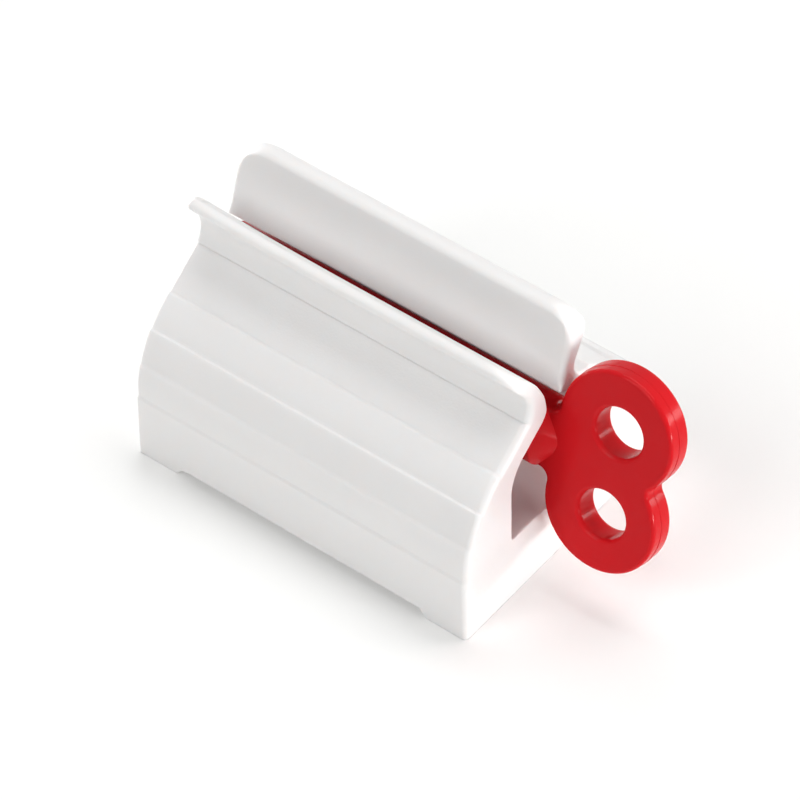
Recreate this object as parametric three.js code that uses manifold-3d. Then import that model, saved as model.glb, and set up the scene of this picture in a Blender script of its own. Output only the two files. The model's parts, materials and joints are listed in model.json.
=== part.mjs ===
// A toothpaste tube squeezer: a moulded stand with a slot along its top, and a wind-up key.
// Units are millimetres. X runs along the stand with the key's handle at +X, the front faces -Y
// and Z is up.
// The origin is on the floor, at the middle of the whole object's box.
import * as THREE from "three";
import { mergeVertices } from "three/addons/utils/BufferGeometryUtils.js";
import Module from "manifold-3d";

// Stand, overall
const STAND_LENGTH = 55; // end face to end face, at the floor
const STAND_DEPTH = 40; // front to rear, at the base
const STAND_HEIGHT = 40; // floor to the top of the back plate
const END_DRAFT = 0.6; // degrees, each end face leans in

// Front and rear faces: an upright base, a terraced shoulder and a slope
const SHOULDER_RADIUS = 17.6; // circle that the terraces follow
const SHOULDER_FLATS = 3; // terraces on the shoulder
const LEDGE = 0.25; // level step at the foot of each terrace
const SLOPE_ANGLE = 36; // degrees from level, from the shoulder up to the neck
const WALL = 3.2; // outer wall
const ARCH_WALL = 3.435; // under the slopes, over the chamber

// Slot and lip
const SLOT_WIDTH = 2.5; // between the lip and the back plate's lower edge
const LIP_THICKNESS = 3.4; // at the neck, to the slot's narrowest place
const NECK_HEIGHT = 31.8; // floor to the narrowest place under the lip
const NECK_RADIUS = 4.5; // hollow from the crease up to the neck
const FLARE_RADIUS = 3.8; // hollow from the neck up under the lip's flare
const NECK_BREAK = 20; // degrees, crease between the slope and the neck
const LIP_RISE = 5.3; // neck to the top of the lip
const LIP_BEND_RADIUS = 11; // forward bend of the lip's rear side
const LIP_BEND_DROP = 3.5; // that bend's centre lies this far below the neck
const LIP_BULGE_RADIUS = 3.1; // rounding under the lip's rear side, into the arch
const NOSE_RADIUS = 0.9; // rounded edge of the lip
const LIP_CORNER = 5.5; // rounded upper corner at the key's end, seen from the front
const LIP_FAR_CORNER = 1.2; // and at the far end

// Back plate
const PLATE_NECK = 2.8; // level thickness at the neck
const PLATE_LEAN = 17.5; // degrees back from upright
const PLATE_SILL = 0.6; // level underside of the plate's lower edge
const PLATE_EDGE = 1.1; // rounding of its top front edge
const PLATE_TOP = 0.2; // level top between the two roundings
const PLATE_HEAD_RADIUS = 2; // rounding of its top rear edge
const PLATE_CORNER = 4.5; // rounded upper corners, seen from the front

// Winding chamber and the two saddle ribs that carry the roller
const CHAMBER_WIDTH = 20.2;
const CHAMBER_CORNER = 6.75; // rounding of the arch
const CHAMBER_UNDER_ROLLER = 6.25; // roller down to the chamber's floor
const INNER_WALL = 2.4; // chamber's side walls and floor
const KEY_SADDLE_RECESS = 8; // from the key's end face in to its saddle
const FAR_SADDLE_RECESS = 3; // and from the far end face
const SADDLE_LENGTH = 2; // along X
const SADDLE_CHEEK = 1.05; // material beside the cup, at its rim
const SADDLE_RIM_DROP = 2; // rim below the roller's axis

// Feet
const FOOT_LENGTH = 6.6; // along X, at each end
const FOOT_HEIGHT = 1.35;

// Winding key
const ROLLER_DIAMETER = 9.7;
const ROLLER_OVERHANG = 2.9; // roller's tip past its far saddle
const TIP_CHAMFER = 0.3;
const SLIT_WIDTH = 1.8;
const SLIT_END_GAP = 1; // solid roller between the slit and the near saddle
const SHOULDER_INSET = 1.45; // start of the roller's shoulder, inside the end face
const SHOULDER_LENGTH = 2.45; // cone that runs down onto the handle's faces
const TONGUE_LENGTH = 1.5; // handle's tongue inside the roller
const HANDLE_THICKNESS = 4;
const HANDLE_EDGE = 0.5; // rounding of the handle's edges
const HANDLE_TILT = 14.7; // degrees, upper ring towards the rear
const RING_RADIUS = 8.55; // each ring of the handle
const RING_SPACING = 12.9; // centre to centre
const HOLE_DIAMETER = 7.2;
const HOLE_OFFSET = 0.4; // holes lie this far out from the rings' centres
const WAIST_FILLET = 1.5; // between the two rings
const SHANK_FILLET = 1.5; // between each ring and the shank

// Clearances
const ROLLER_CLEARANCE = 0.3; // roller in its saddles
const SLOT_CLEARANCE = 1.5; // slot's lower edge down to the top of the roller
const HANDLE_CLEARANCE = 0.35; // end face to handle

// Smoothness of round shapes, and how far a cutter reaches past what it cuts
const ROUND_STEPS = 48; // sides of a full circle
const LEAST_STEPS = 2; // sides of the shortest arc
const EDGE_STEPS = 2; // steps across a rounded edge of the handle
const OVERCUT = 1;

// Colours and finishes
const STAND_COLOUR = 0xf1efed;
const STAND_ROUGHNESS = 0.45;
const KEY_COLOUR = 0xc3262a;
const KEY_ROUGHNESS = 0.22;

// Sizes that follow from the ones above
const HALF_LENGTH = STAND_LENGTH / 2;
const HALF_DEPTH = STAND_DEPTH / 2;
const SHOULDER_TURN = 90 - SLOPE_ANGLE;
const ROLLER_RADIUS = ROLLER_DIAMETER / 2;
const KEY_SADDLE_START = HALF_LENGTH - KEY_SADDLE_RECESS - SADDLE_LENGTH;
const FAR_SADDLE_START = FAR_SADDLE_RECESS - HALF_LENGTH;
const ROLLER_TIP = FAR_SADDLE_START - ROLLER_OVERHANG;

const wasm = await Module();
wasm.setup();

const radians = THREE.MathUtils.degToRad;
const point = (a, b) => new THREE.Vector2(a, b);
const mirrored = (points) => points.map((p) => point(-p.x, p.y)).reverse();
const sine = (degrees) => Math.sin(radians(degrees));
const cosine = (degrees) => Math.cos(radians(degrees));
const tangent = (degrees) => Math.tan(radians(degrees));

// An outline of (Y, Z) is drawn out along X, and an outline of (X, Z) along -Y.
const X_AXIS = new THREE.Vector3(1, 0, 0);
const Y_AXIS = new THREE.Vector3(0, 1, 0);
const Z_AXIS = new THREE.Vector3(0, 0, 1);
const ALONG_X = new THREE.Matrix4().makeBasis(Y_AXIS, Z_AXIS, X_AXIS);
const ALONG_Y = new THREE.Matrix4().makeBasis(X_AXIS, Z_AXIS, Y_AXIS.clone().negate());

// A closed geometry as a solid that can be joined and cut.
function solidOf(geometry) {
  const bare = geometry.clone();
  bare.deleteAttribute("normal");
  bare.deleteAttribute("uv");
  const merged = mergeVertices(bare);
  return new wasm.Manifold(
    new wasm.Mesh({
      numProp: 3,
      vertProperties: merged.getAttribute("position").array,
      triVerts: new Uint32Array(merged.getIndex().array),
    }),
  );
}

// A solid as a geometry with flat faces.
function geometryOf(solid) {
  const mesh = solid.getMesh();
  const shared = new THREE.BufferGeometry();
  shared.setAttribute("position", new THREE.BufferAttribute(mesh.vertProperties, 3));
  shared.setIndex(new THREE.BufferAttribute(mesh.triVerts, 1));
  const faceted = shared.toNonIndexed();
  faceted.computeVertexNormals();
  return faceted;
}

// Points of an arc about a centre, from one angle to another in degrees.
function arc(centre, radius, from, to) {
  const steps = Math.max(LEAST_STEPS, Math.ceil((Math.abs(to - from) / 360) * ROUND_STEPS));
  const points = [];
  for (let i = 0; i <= steps; i++) {
    const angle = from + ((to - from) * i) / steps;
    points.push(point(centre.x + radius * cosine(angle), centre.y + radius * sine(angle)));
  }
  return points;
}

// Angle in degrees at which a point lies from a centre.
function bearing(centre, at) {
  return THREE.MathUtils.radToDeg(Math.atan2(at.y - centre.y, at.x - centre.x));
}

// A bar with square ends, drawn out along Z from a flat outline.
function flatBar(outline, depth) {
  return new THREE.ExtrudeGeometry(new THREE.Shape(outline), { depth, bevelEnabled: false });
}

// A bar with a (Y, Z) outline, between two places along X.
function barAlongX(outline, start, end) {
  const bar = flatBar(outline, end - start);
  bar.translate(0, 0, start);
  return solidOf(bar.applyMatrix4(ALONG_X));
}

// A bar with an (X, Z) outline, between two places along Y.
function barAlongY(outline, start, end) {
  const bar = flatBar(outline, end - start);
  bar.translate(0, 0, -end);
  return solidOf(bar.applyMatrix4(ALONG_Y));
}

// Where a straight line leaves one circle and meets another that lies on its other side.
function crossTangent(first, firstRadius, second, secondRadius) {
  const apart = second.clone().sub(first);
  const swing = Math.acos((firstRadius + secondRadius) / apart.length());
  const way = apart.normalize().rotateAround(point(0, 0), swing);
  const leaves = first.clone().addScaledVector(way, firstRadius);
  const meets = second.clone().addScaledVector(way, -secondRadius);
  return [leaves, meets];
}

// The next outlines are half sections: (distance from the middle plane, height).
// They are the same in front and behind.

// Crease where the slope meets the neck, foot of the slope, and centre of the shoulder's circle.
const NECK_WIDTH = SLOT_WIDTH + LIP_THICKNESS;
const NECK_START = SLOPE_ANGLE + NECK_BREAK;
const CREASE = point(
  NECK_WIDTH + NECK_RADIUS * (1 - sine(NECK_START)),
  NECK_HEIGHT - NECK_RADIUS * cosine(NECK_START),
);
const SLOPE_FOOT_WIDTH = HALF_DEPTH - SHOULDER_RADIUS * (1 - cosine(SHOULDER_TURN)) - LEDGE;
const SLOPE_FOOT = CREASE.y - (SLOPE_FOOT_WIDTH - CREASE.x) * tangent(SLOPE_ANGLE);
const SHOULDER_CENTRE = point(
  HALF_DEPTH - SHOULDER_RADIUS,
  SLOPE_FOOT - SHOULDER_RADIUS * sine(SHOULDER_TURN),
);

// The slope's inner side, the arch over the chamber, lies one arch wall under its outer side.
function innerSlope(width) {
  return point(width, CREASE.y + (CREASE.x - width) * tangent(SLOPE_ANGLE) - ARCH_WALL / cosine(SLOPE_ANGLE));
}
const SLOT_LOWER_EDGE = innerSlope(SLOT_WIDTH);
const SILL = innerSlope(PLATE_SILL);
const AXIS_HEIGHT = SLOT_LOWER_EDGE.y - SLOT_CLEARANCE - ROLLER_RADIUS;
const CHAMBER_FLOOR = AXIS_HEIGHT - ROLLER_RADIUS - CHAMBER_UNDER_ROLLER;

// How far the key's end face lies from the stand's middle, at a height.
function endAt(height) {
  return HALF_LENGTH - height * tangent(END_DRAFT);
}
const SHOULDER_X = endAt(AXIS_HEIGHT) - SHOULDER_INSET;
const HANDLE_X = endAt(AXIS_HEIGHT) + HANDLE_CLEARANCE + RING_RADIUS;
const OBJECT_MIDDLE = (HANDLE_X + RING_RADIUS - HALF_LENGTH) / 2;

// Outer face from the floor up the base and over the terraces to the foot of the slope.
function terracedFace() {
  const points = [point(HALF_DEPTH, 0)];
  for (let i = 0; i <= SHOULDER_FLATS; i++) {
    const angle = (SHOULDER_TURN * i) / SHOULDER_FLATS;
    const edge = point(
      SHOULDER_CENTRE.x + SHOULDER_RADIUS * cosine(angle),
      SHOULDER_CENTRE.y + SHOULDER_RADIUS * sine(angle),
    );
    points.push(edge, point(edge.x - LEDGE, edge.y));
  }
  return points;
}

// Chamber's wall from its floor up to the foot of the arch's slope.
function chamberWall() {
  const corner = innerSlope(CHAMBER_WIDTH / 2);
  const reach = CHAMBER_CORNER * tangent(SHOULDER_TURN / 2);
  const centre = point(corner.x - CHAMBER_CORNER, corner.y - reach);
  return [point(corner.x, CHAMBER_FLOOR), ...arc(centre, CHAMBER_CORNER, 0, SHOULDER_TURN)];
}

// Centre of the bulge under the lip's rear side: a circle inside the bend's circle that rests on the arch.
function bulgeCentre(bend) {
  const along = point(cosine(SLOPE_ANGLE), -sine(SLOPE_ANGLE));
  const start = point(SLOT_WIDTH, SLOT_LOWER_EDGE.y + LIP_BULGE_RADIUS / cosine(SLOPE_ANGLE));
  const from = start.clone().sub(bend);
  const run = from.dot(along);
  const reach = LIP_BEND_RADIUS - LIP_BULGE_RADIUS;
  const way = -run - Math.sqrt(run ** 2 - from.lengthSq() + reach ** 2);
  return start.addScaledVector(along, way);
}

// Lip from the crease at its neck, over its nose and down its rear side, round the bulge to the arch.
function lip() {
  const neck = point(NECK_WIDTH + NECK_RADIUS, NECK_HEIGHT);
  const flare = point(NECK_WIDTH + FLARE_RADIUS, NECK_HEIGHT);
  const bend = point(SLOT_WIDTH + LIP_BEND_RADIUS, NECK_HEIGHT - LIP_BEND_DROP);
  const noseRise = LIP_RISE + LIP_BEND_DROP - NOSE_RADIUS;
  const noseReach = LIP_BEND_RADIUS - NOSE_RADIUS;
  const nose = point(bend.x - Math.sqrt(noseReach ** 2 - noseRise ** 2), bend.y + noseRise);
  const [leaves, meets] = crossTangent(flare, FLARE_RADIUS, nose, NOSE_RADIUS);
  const bendTop = bearing(bend, nose);
  const bulge = bulgeCentre(bend);
  const touch = bearing(bend, bulge);
  return [
    ...arc(neck, NECK_RADIUS, 270 - NECK_START, 180),
    ...arc(flare, FLARE_RADIUS, 180, bearing(flare, leaves)).slice(1),
    ...arc(nose, NOSE_RADIUS, bearing(nose, meets), bendTop),
    ...arc(bend, LIP_BEND_RADIUS, bendTop, touch).slice(1),
    ...arc(bulge, LIP_BULGE_RADIUS, touch, 270 - SLOPE_ANGLE).slice(1),
  ];
}

// Back plate, as (Y, Z): up its front face, over its top and down the hollow behind it to the crease.
function backPlate() {
  const up = point(sine(PLATE_LEAN), cosine(PLATE_LEAN));
  const back = point(up.y, -up.x);
  const foot = point(0, SILL.y);
  const place = (along, across) => foot.clone().addScaledVector(up, along).addScaledVector(back, across);
  const edgeRise = (STAND_HEIGHT - foot.y - PLATE_EDGE * (1 + back.y)) / up.y;
  const edge = place(edgeRise, PLATE_EDGE);
  const head = point(edge.x + PLATE_TOP, STAND_HEIGHT - PLATE_HEAD_RADIUS);
  const neckWidth = (NECK_HEIGHT - foot.y) * tangent(PLATE_LEAN) + PLATE_NECK;
  const reach = CREASE.x - neckWidth;
  const radius = (reach ** 2 + (NECK_HEIGHT - CREASE.y) ** 2) / (2 * reach);
  const hollow = point(neckWidth + radius, NECK_HEIGHT);
  const [leaves, meets] = crossTangent(hollow, radius, head, PLATE_HEAD_RADIUS);
  return [
    foot,
    ...arc(edge, PLATE_EDGE, 180 - PLATE_LEAN, 90),
    ...arc(head, PLATE_HEAD_RADIUS, 90, bearing(head, meets)),
    ...arc(hollow, radius, bearing(hollow, leaves), 360 + bearing(hollow, CREASE)),
  ];
}

// Stand's whole section, as (Y, Z): front face, lip, slot, chamber, back plate and rear face.
function standSection() {
  const face = terracedFace();
  const wall = chamberWall();
  const front = [...face, ...lip(), ...[...wall].reverse()].map((p) => point(-p.x, p.y));
  return [...front, ...wall, SILL, ...backPlate(), ...[...face].reverse()];
}

// Hollow of the underside, as (Y, Z): under the chamber's floor and up beside the chamber's walls.
function undersideHollow() {
  const radius = SHOULDER_RADIUS - WALL;
  const innerWidth = CHAMBER_WIDTH / 2 + INNER_WALL;
  const top = THREE.MathUtils.radToDeg(Math.acos((innerWidth - SHOULDER_CENTRE.x) / radius));
  const half = [
    point(HALF_DEPTH - WALL, -OVERCUT),
    ...arc(SHOULDER_CENTRE, radius, 0, top),
    point(innerWidth, CHAMBER_FLOOR - INNER_WALL),
  ];
  return [...half, ...mirrored(half)];
}

// Relief between the feet, as (X, Z): from the floor up, with sloped ends.
function footRelief() {
  const halfWidth = HALF_LENGTH - FOOT_LENGTH;
  const half = [
    point(halfWidth, -OVERCUT),
    point(halfWidth, 0),
    point(halfWidth - FOOT_HEIGHT, FOOT_HEIGHT),
  ];
  return [...half, ...mirrored(half)];
}

// What the two leaning end faces leave, as (X, Z).
function endFaces() {
  const pastTop = STAND_HEIGHT + OVERCUT;
  const half = [point(endAt(-OVERCUT), -OVERCUT), point(endAt(pastTop), pastTop)];
  return [...half, ...mirrored(half)];
}

// Saddle rib, as (Y, Z): a block on the chamber's floor with a round cup for the roller.
function saddleSection() {
  const axis = point(0, AXIS_HEIGHT);
  const cup = ROLLER_RADIUS + ROLLER_CLEARANCE;
  const rim = THREE.MathUtils.radToDeg(Math.asin(SADDLE_RIM_DROP / cup));
  const halfWidth = cup * cosine(rim) + SADDLE_CHEEK;
  const half = [
    point(halfWidth, CHAMBER_FLOOR - INNER_WALL / 2),
    point(halfWidth, AXIS_HEIGHT - SADDLE_RIM_DROP),
    ...arc(axis, cup, -rim, -90),
  ];
  return [...half, ...mirrored(half).slice(1)];
}

// What is cut away to round an upper corner at the key's end, as (X, Z).
function cornerWaste(top, radius) {
  const centre = point(endAt(top - radius) - radius / cosine(END_DRAFT), top - radius);
  const round = arc(centre, radius, END_DRAFT, 90);
  const pastEnd = HALF_LENGTH + OVERCUT;
  const pastTop = top + OVERCUT;
  return [...round, point(centre.x, pastTop), point(pastEnd, pastTop), point(pastEnd, round[0].y)];
}

function makeStand() {
  const hollowEnd = HALF_LENGTH - WALL;
  const pastFront = -HALF_DEPTH - OVERCUT;
  const pastRear = HALF_DEPTH + OVERCUT;
  const pastEnd = HALF_LENGTH + OVERCUT;
  const slotMiddle = -SLOT_WIDTH / 2;
  const lipTop = NECK_HEIGHT + LIP_RISE;
  const lipWastes = [cornerWaste(lipTop, LIP_CORNER), mirrored(cornerWaste(lipTop, LIP_FAR_CORNER))];
  const plateWaste = cornerWaste(STAND_HEIGHT, PLATE_CORNER);
  let solid = barAlongX(standSection(), -pastEnd, pastEnd)
    .intersect(barAlongY(endFaces(), pastFront, pastRear))
    .subtract(barAlongX(undersideHollow(), -hollowEnd, hollowEnd))
    .subtract(barAlongY(footRelief(), pastFront, pastRear));
  for (const waste of lipWastes) {
    solid = solid.subtract(barAlongY(waste, pastFront, slotMiddle));
  }
  for (const waste of [plateWaste, mirrored(plateWaste)]) {
    solid = solid.subtract(barAlongY(waste, slotMiddle, pastRear));
  }
  for (const start of [KEY_SADDLE_START, FAR_SADDLE_START]) {
    solid = solid.add(barAlongX(saddleSection(), start, start + SADDLE_LENGTH));
  }
  return geometryOf(solid);
}

// Roller with a chamfered tip and a cone for a shoulder, about the X axis.
function rollerSolid() {
  const profile = [
    point(0, ROLLER_TIP),
    point(ROLLER_RADIUS - TIP_CHAMFER, ROLLER_TIP),
    point(ROLLER_RADIUS, ROLLER_TIP + TIP_CHAMFER),
    point(ROLLER_RADIUS, SHOULDER_X),
    point(HANDLE_THICKNESS / 2, SHOULDER_X + SHOULDER_LENGTH),
    point(0, SHOULDER_X + SHOULDER_LENGTH),
  ];
  const turned = new THREE.LatheGeometry(profile, ROUND_STEPS);
  turned.rotateZ(-Math.PI / 2);
  return solidOf(turned);
}

// Figure-8 handle with its tongue, as (X, Z) about the middle of its two rings.
function handleOutline() {
  const half = RING_SPACING / 2;
  const ring = point(0, half);
  const tongueHalf = Math.sqrt(ROLLER_RADIUS ** 2 - (HANDLE_THICKNESS / 2) ** 2);
  const filletHeight = tongueHalf + SHANK_FILLET;
  const filletX = -Math.sqrt((RING_RADIUS + SHANK_FILLET) ** 2 - (filletHeight - half) ** 2);
  const fillet = point(filletX, filletHeight);
  const waist = point(Math.sqrt((RING_RADIUS + WAIST_FILLET) ** 2 - half ** 2), 0);
  const tongueEnd = SHOULDER_X - TONGUE_LENGTH - HANDLE_X;
  const toWaist = bearing(ring, waist);
  const fromFillet = bearing(fillet, ring);
  const upper = [
    ...arc(waist, WAIST_FILLET, 180, 180 + toWaist),
    ...arc(ring, RING_RADIUS, toWaist, 180 + fromFillet).slice(1),
    ...arc(fillet, SHANK_FILLET, fromFillet, -90).slice(1),
    point(tongueEnd, tongueHalf),
  ];
  const lower = upper.slice(1).map((p) => point(p.x, -p.y));
  return [...upper, ...lower.reverse()];
}

// Handle's flat moulding with rounded edges and two finger holes, with its mid-plane in the XZ plane.
function handleSolid() {
  const shape = new THREE.Shape(handleOutline());
  for (const side of [-1, 1]) {
    const centre = point(HOLE_OFFSET, (side * RING_SPACING) / 2);
    shape.holes.push(new THREE.Path(arc(centre, HOLE_DIAMETER / 2, 0, -360).slice(1)));
  }
  const flat = new THREE.ExtrudeGeometry(shape, {
    depth: HANDLE_THICKNESS - 2 * HANDLE_EDGE,
    bevelThickness: HANDLE_EDGE,
    bevelSize: HANDLE_EDGE,
    bevelOffset: -HANDLE_EDGE,
    bevelSegments: EDGE_STEPS,
  });
  flat.translate(HANDLE_X, 0, HANDLE_EDGE - HANDLE_THICKNESS / 2);
  return solidOf(flat.applyMatrix4(ALONG_Y));
}

// Slit for the tube's tail, as (X, Z): open at the roller's tip, with a round end near the handle.
function slitOutline() {
  const half = SLIT_WIDTH / 2;
  const end = KEY_SADDLE_START - SLIT_END_GAP;
  const open = ROLLER_TIP - OVERCUT;
  return [point(open, -half), ...arc(point(end - half, 0), half, -90, 90), point(open, half)];
}

function makeKey() {
  const reach = ROLLER_RADIUS + OVERCUT;
  return geometryOf(rollerSolid().add(handleSolid()).subtract(barAlongY(slitOutline(), -reach, reach)));
}

const stand = new THREE.Mesh(
  makeStand(),
  new THREE.MeshStandardMaterial({ color: STAND_COLOUR, roughness: STAND_ROUGHNESS, metalness: 0 }),
);
stand.name = "stand";

const key = new THREE.Mesh(
  makeKey(),
  new THREE.MeshStandardMaterial({ color: KEY_COLOUR, roughness: KEY_ROUGHNESS, metalness: 0 }),
);
key.name = "winding_key";
key.position.z = AXIS_HEIGHT;
key.rotation.x = radians(-HANDLE_TILT);

const pieces = new THREE.Group();
pieces.position.x = -OBJECT_MIDDLE;
pieces.add(stand, key);

const squeezer = new THREE.Group();
squeezer.add(pieces);

export default squeezer;
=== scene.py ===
# %% [markdown]
# # A toothpaste tube squeezer
#
# The object is two plastic mouldings. A white stand has a long slot between a curled lip and a
# back plate, and a hollow chamber under the slot. A red winding key lies in that chamber: its
# round roller is slit along its length, and its figure-eight handle sticks out at one end.
# A tube's flat tail goes down through the slot into the slit, and turning the handle winds it up.
#
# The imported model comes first, because it fixes where each body is and how it moves.

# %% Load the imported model
import json
import math
from functools import partial

import bmesh
import bpy
import numpy as np
from mathutils import Matrix, Vector
from mathutils.geometry import delaunay_2d_cdt

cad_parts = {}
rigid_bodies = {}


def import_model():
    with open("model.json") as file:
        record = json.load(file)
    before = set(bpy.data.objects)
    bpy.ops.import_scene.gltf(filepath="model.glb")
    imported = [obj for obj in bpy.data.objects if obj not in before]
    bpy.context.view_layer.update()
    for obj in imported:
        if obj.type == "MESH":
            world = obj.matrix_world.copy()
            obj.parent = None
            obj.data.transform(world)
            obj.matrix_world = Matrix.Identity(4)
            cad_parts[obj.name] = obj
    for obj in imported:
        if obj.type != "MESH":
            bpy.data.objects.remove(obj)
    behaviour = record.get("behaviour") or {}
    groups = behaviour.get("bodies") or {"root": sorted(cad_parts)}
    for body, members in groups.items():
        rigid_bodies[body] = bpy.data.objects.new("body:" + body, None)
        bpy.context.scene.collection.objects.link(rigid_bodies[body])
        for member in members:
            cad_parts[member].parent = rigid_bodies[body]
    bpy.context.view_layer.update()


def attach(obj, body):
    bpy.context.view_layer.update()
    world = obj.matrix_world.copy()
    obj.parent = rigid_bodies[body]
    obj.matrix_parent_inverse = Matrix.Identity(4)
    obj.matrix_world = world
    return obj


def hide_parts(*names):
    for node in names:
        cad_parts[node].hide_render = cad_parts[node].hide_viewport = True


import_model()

# %% [markdown]
# ## Sizes
#
# All sizes are in millimetres, measured from the middle of the stand, because that is where the
# section is symmetrical. Blender works in metres here, so a mesh is scaled and moved just once,
# when it is finished. X runs along the stand, -Y is the front and Z is up. Angles are in degrees.

# %% Shared sizes and small helpers
MM = 0.001
STAND_MIDDLE = -8.6113  # X of the stand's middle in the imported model
HALF_LENGTH = 27.5
HALF_DEPTH = 20.0
STAND_HEIGHT = 40.0
END_DRAFT = 0.6  # each end face leans in as it rises
sin, cos, tan = (
    lambda degrees, f=f: f(math.radians(degrees)) for f in (math.sin, math.cos, math.tan)
)


def polar(centre, radius, degrees):
    """A point on a circle."""
    return (centre[0] + radius * cos(degrees), centre[1] + radius * sin(degrees))


def bearing(centre, at):
    """The angle at which a point lies from a centre."""
    return math.degrees(math.atan2(at[1] - centre[1], at[0] - centre[0]))


def end_at(height):
    """How far an end face lies from the stand's middle, at a height."""
    return HALF_LENGTH - height * tan(END_DRAFT)


print(f"an end face is {end_at(STAND_HEIGHT):.2f} mm from the middle at the top")

# %% [markdown]
# ## Camera
#
# The photograph was taken from far away with a long lens, from the front right and well above.
# The camera is placed by the angles of its line of sight about the point that it looks at.

# %% Camera


def add_object(name, data):
    obj = bpy.data.objects.new(name, data)
    bpy.context.scene.collection.objects.link(obj)
    return obj


def add_camera(aim, distance, azimuth, elevation, roll, lens, sensor):
    """A camera that looks at a point. Azimuth 0 is the front and 90 is +X."""
    level = cos(elevation)
    back = Vector((sin(azimuth) * level, -cos(azimuth) * level, sin(elevation)))
    right = Vector((cos(azimuth), sin(azimuth), 0))
    tilted = right * cos(roll) + back.cross(right) * sin(roll)
    place = Matrix((tilted, back.cross(tilted), back)).transposed().to_4x4()
    place.translation = (Vector(aim) + back * distance) * MM
    data = bpy.data.cameras.new("camera")
    data.lens, data.sensor_width = lens, sensor
    camera = add_object("camera", data)
    camera.matrix_world = place
    bpy.context.scene.camera = camera
    print("camera at", tuple(round(x, 4) for x in place.translation))


add_camera(
    aim=(-11.249, 4.889, 5.084), distance=667.8, azimuth=38.5275, elevation=46.7555, roll=-0.83,
    lens=225.0, sensor=36,
)

# %% [markdown]
# ## Node trees from a script
#
# A material and a Geometry Nodes setup are both trees of nodes. In a script each node, socket and
# link takes a line of its own. A small class takes that up, so that a tree stays easy to read.

# %% Short ways to build a tree


class NodeTree:
    """Adds nodes and returns their outputs. An input has a name or number, and a value or a link."""

    def __init__(self, tree):
        self.tree = tree

    def add(self, kind, inputs=None, **settings):
        node = self.tree.nodes.new(kind)
        for name, value in settings.items():
            setattr(node, name, value)
        self.fill(node, inputs or {})
        return node.outputs

    def fill(self, node, inputs):
        for name, value in inputs.items():
            socket = node.inputs[name]
            if isinstance(value, bpy.types.NodeSocket):
                self.tree.links.new(value, socket)
            else:
                socket.default_value = value

    def math(self, operation, *numbers):
        return self.add("ShaderNodeMath", dict(enumerate(numbers)), operation=operation)[0]


# %% [markdown]
# ## Plastics
#
# The white moulding is satin: its mould was eroded by sparks, which leaves a very fine grain, and
# the melt leaves faint cloudy flow marks. The red one is glossy and a little translucent, so light
# that enters comes out reddened nearby.
#
# Each finish is built from noise on Object coordinates, so it stays with the piece when it turns.
# The noise drives colour by a hair, roughness a little more, and a bump that only shows in gloss.

# %% Finishes


def plastic(name, light, dark, rough, grain_scale, grain_depth, cloud_scale, constants):
    """A moulded plastic: cloudy colour, uneven gloss and a fine grain."""
    material = bpy.data.materials.new(name)
    material.use_nodes = True
    n = NodeTree(material.node_tree)
    place = n.add("ShaderNodeTexCoord")["Object"]

    def noise(scale, detail):
        return n.add("ShaderNodeTexNoise", {"Vector": place, "Scale": scale, "Detail": detail})["Fac"]

    clouds = noise(cloud_scale, detail=3.0)
    grain = noise(grain_scale, detail=2.0)
    tints = {"Factor": clouds, "A": (*dark, 1), "B": (*light, 1)}
    colour = n.add("ShaderNodeMix", tints, data_type="RGBA")
    gloss = n.add("ShaderNodeMapRange", {"Value": clouds, "To Min": rough[0], "To Max": rough[1]})
    bump = n.add("ShaderNodeBump", {"Height": grain, "Distance": grain_depth * MM})
    links = {"Base Color": colour["Result"], "Roughness": gloss["Result"], "Normal": bump["Normal"]}
    n.fill(material.node_tree.nodes["Principled BSDF"], {**links, **constants})
    print("finish:", name)
    return material


white = plastic(
    "satin_white_plastic", (0.82, 0.81, 0.805), (0.79, 0.78, 0.775), (0.36, 0.48), 3000, 0.02, 60,
    {"Subsurface Weight": 1.0, "Subsurface Radius": (1.0, 0.9, 0.85), "Subsurface Scale": 0.5 * MM},
)
red = plastic(
    "glossy_red_plastic", (0.6, 0.01, 0.015), (0.57, 0.008, 0.012), (0.13, 0.2), 900, 0.01, 120,
    {"Specular IOR Level": 0.09, "Subsurface Weight": 0.15, "Subsurface Radius": (1.0, 0.15, 0.12),
     "Subsurface Scale": 1.0 * MM},
)

# %% [markdown]
# ## Drawing an outline out
#
# Nearly every part of this object is a flat outline drawn out straight, with its end edges rounded
# over: the stand, the saddle ribs, the roller, and the handle through its thickness. A plain
# extrusion would leave knife-sharp ends, and a bevel fails where details are finer than the bevel.
#
# So one Geometry Nodes tree does all of them. Its input mesh is the outline, whose points carry
# `inward`, the way into the material, and `end_radius`, how much of the end edge is rounded there.
# A second mesh lists the stations: how far along each one is, the angle that it has reached round
# the end edge, and any extra dent. The tree makes a grid of stations by outline points and puts
# every grid point where those numbers say.

# %% The tree that draws an outline out
FLOATS = ("Half Length", "Lean", "Start Round", "End Round")
INPUTS = {"Outline": "Geometry", "Stations": "Object", **dict.fromkeys(FLOATS, "Float")}
INPUTS["Material"] = "Material"


class GeometryTree(NodeTree):
    """The same, with the few nodes that read points."""

    def count(self, geometry):
        return self.add("GeometryNodeAttributeDomainSize", {0: geometry})["Point Count"]

    def attribute(self, name, kind):
        return self.add("GeometryNodeInputNamedAttribute", {0: name}, data_type=kind)["Attribute"]

    def sample(self, geometry, kind, value, index):
        inputs = {"Geometry": geometry, "Value": value, "Index": index}
        return self.add("GeometryNodeSampleIndex", inputs, data_type=kind, domain="POINT")["Value"]

    def parts(self, vector):
        return self.add("ShaderNodeSeparateXYZ", {0: vector})


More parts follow.
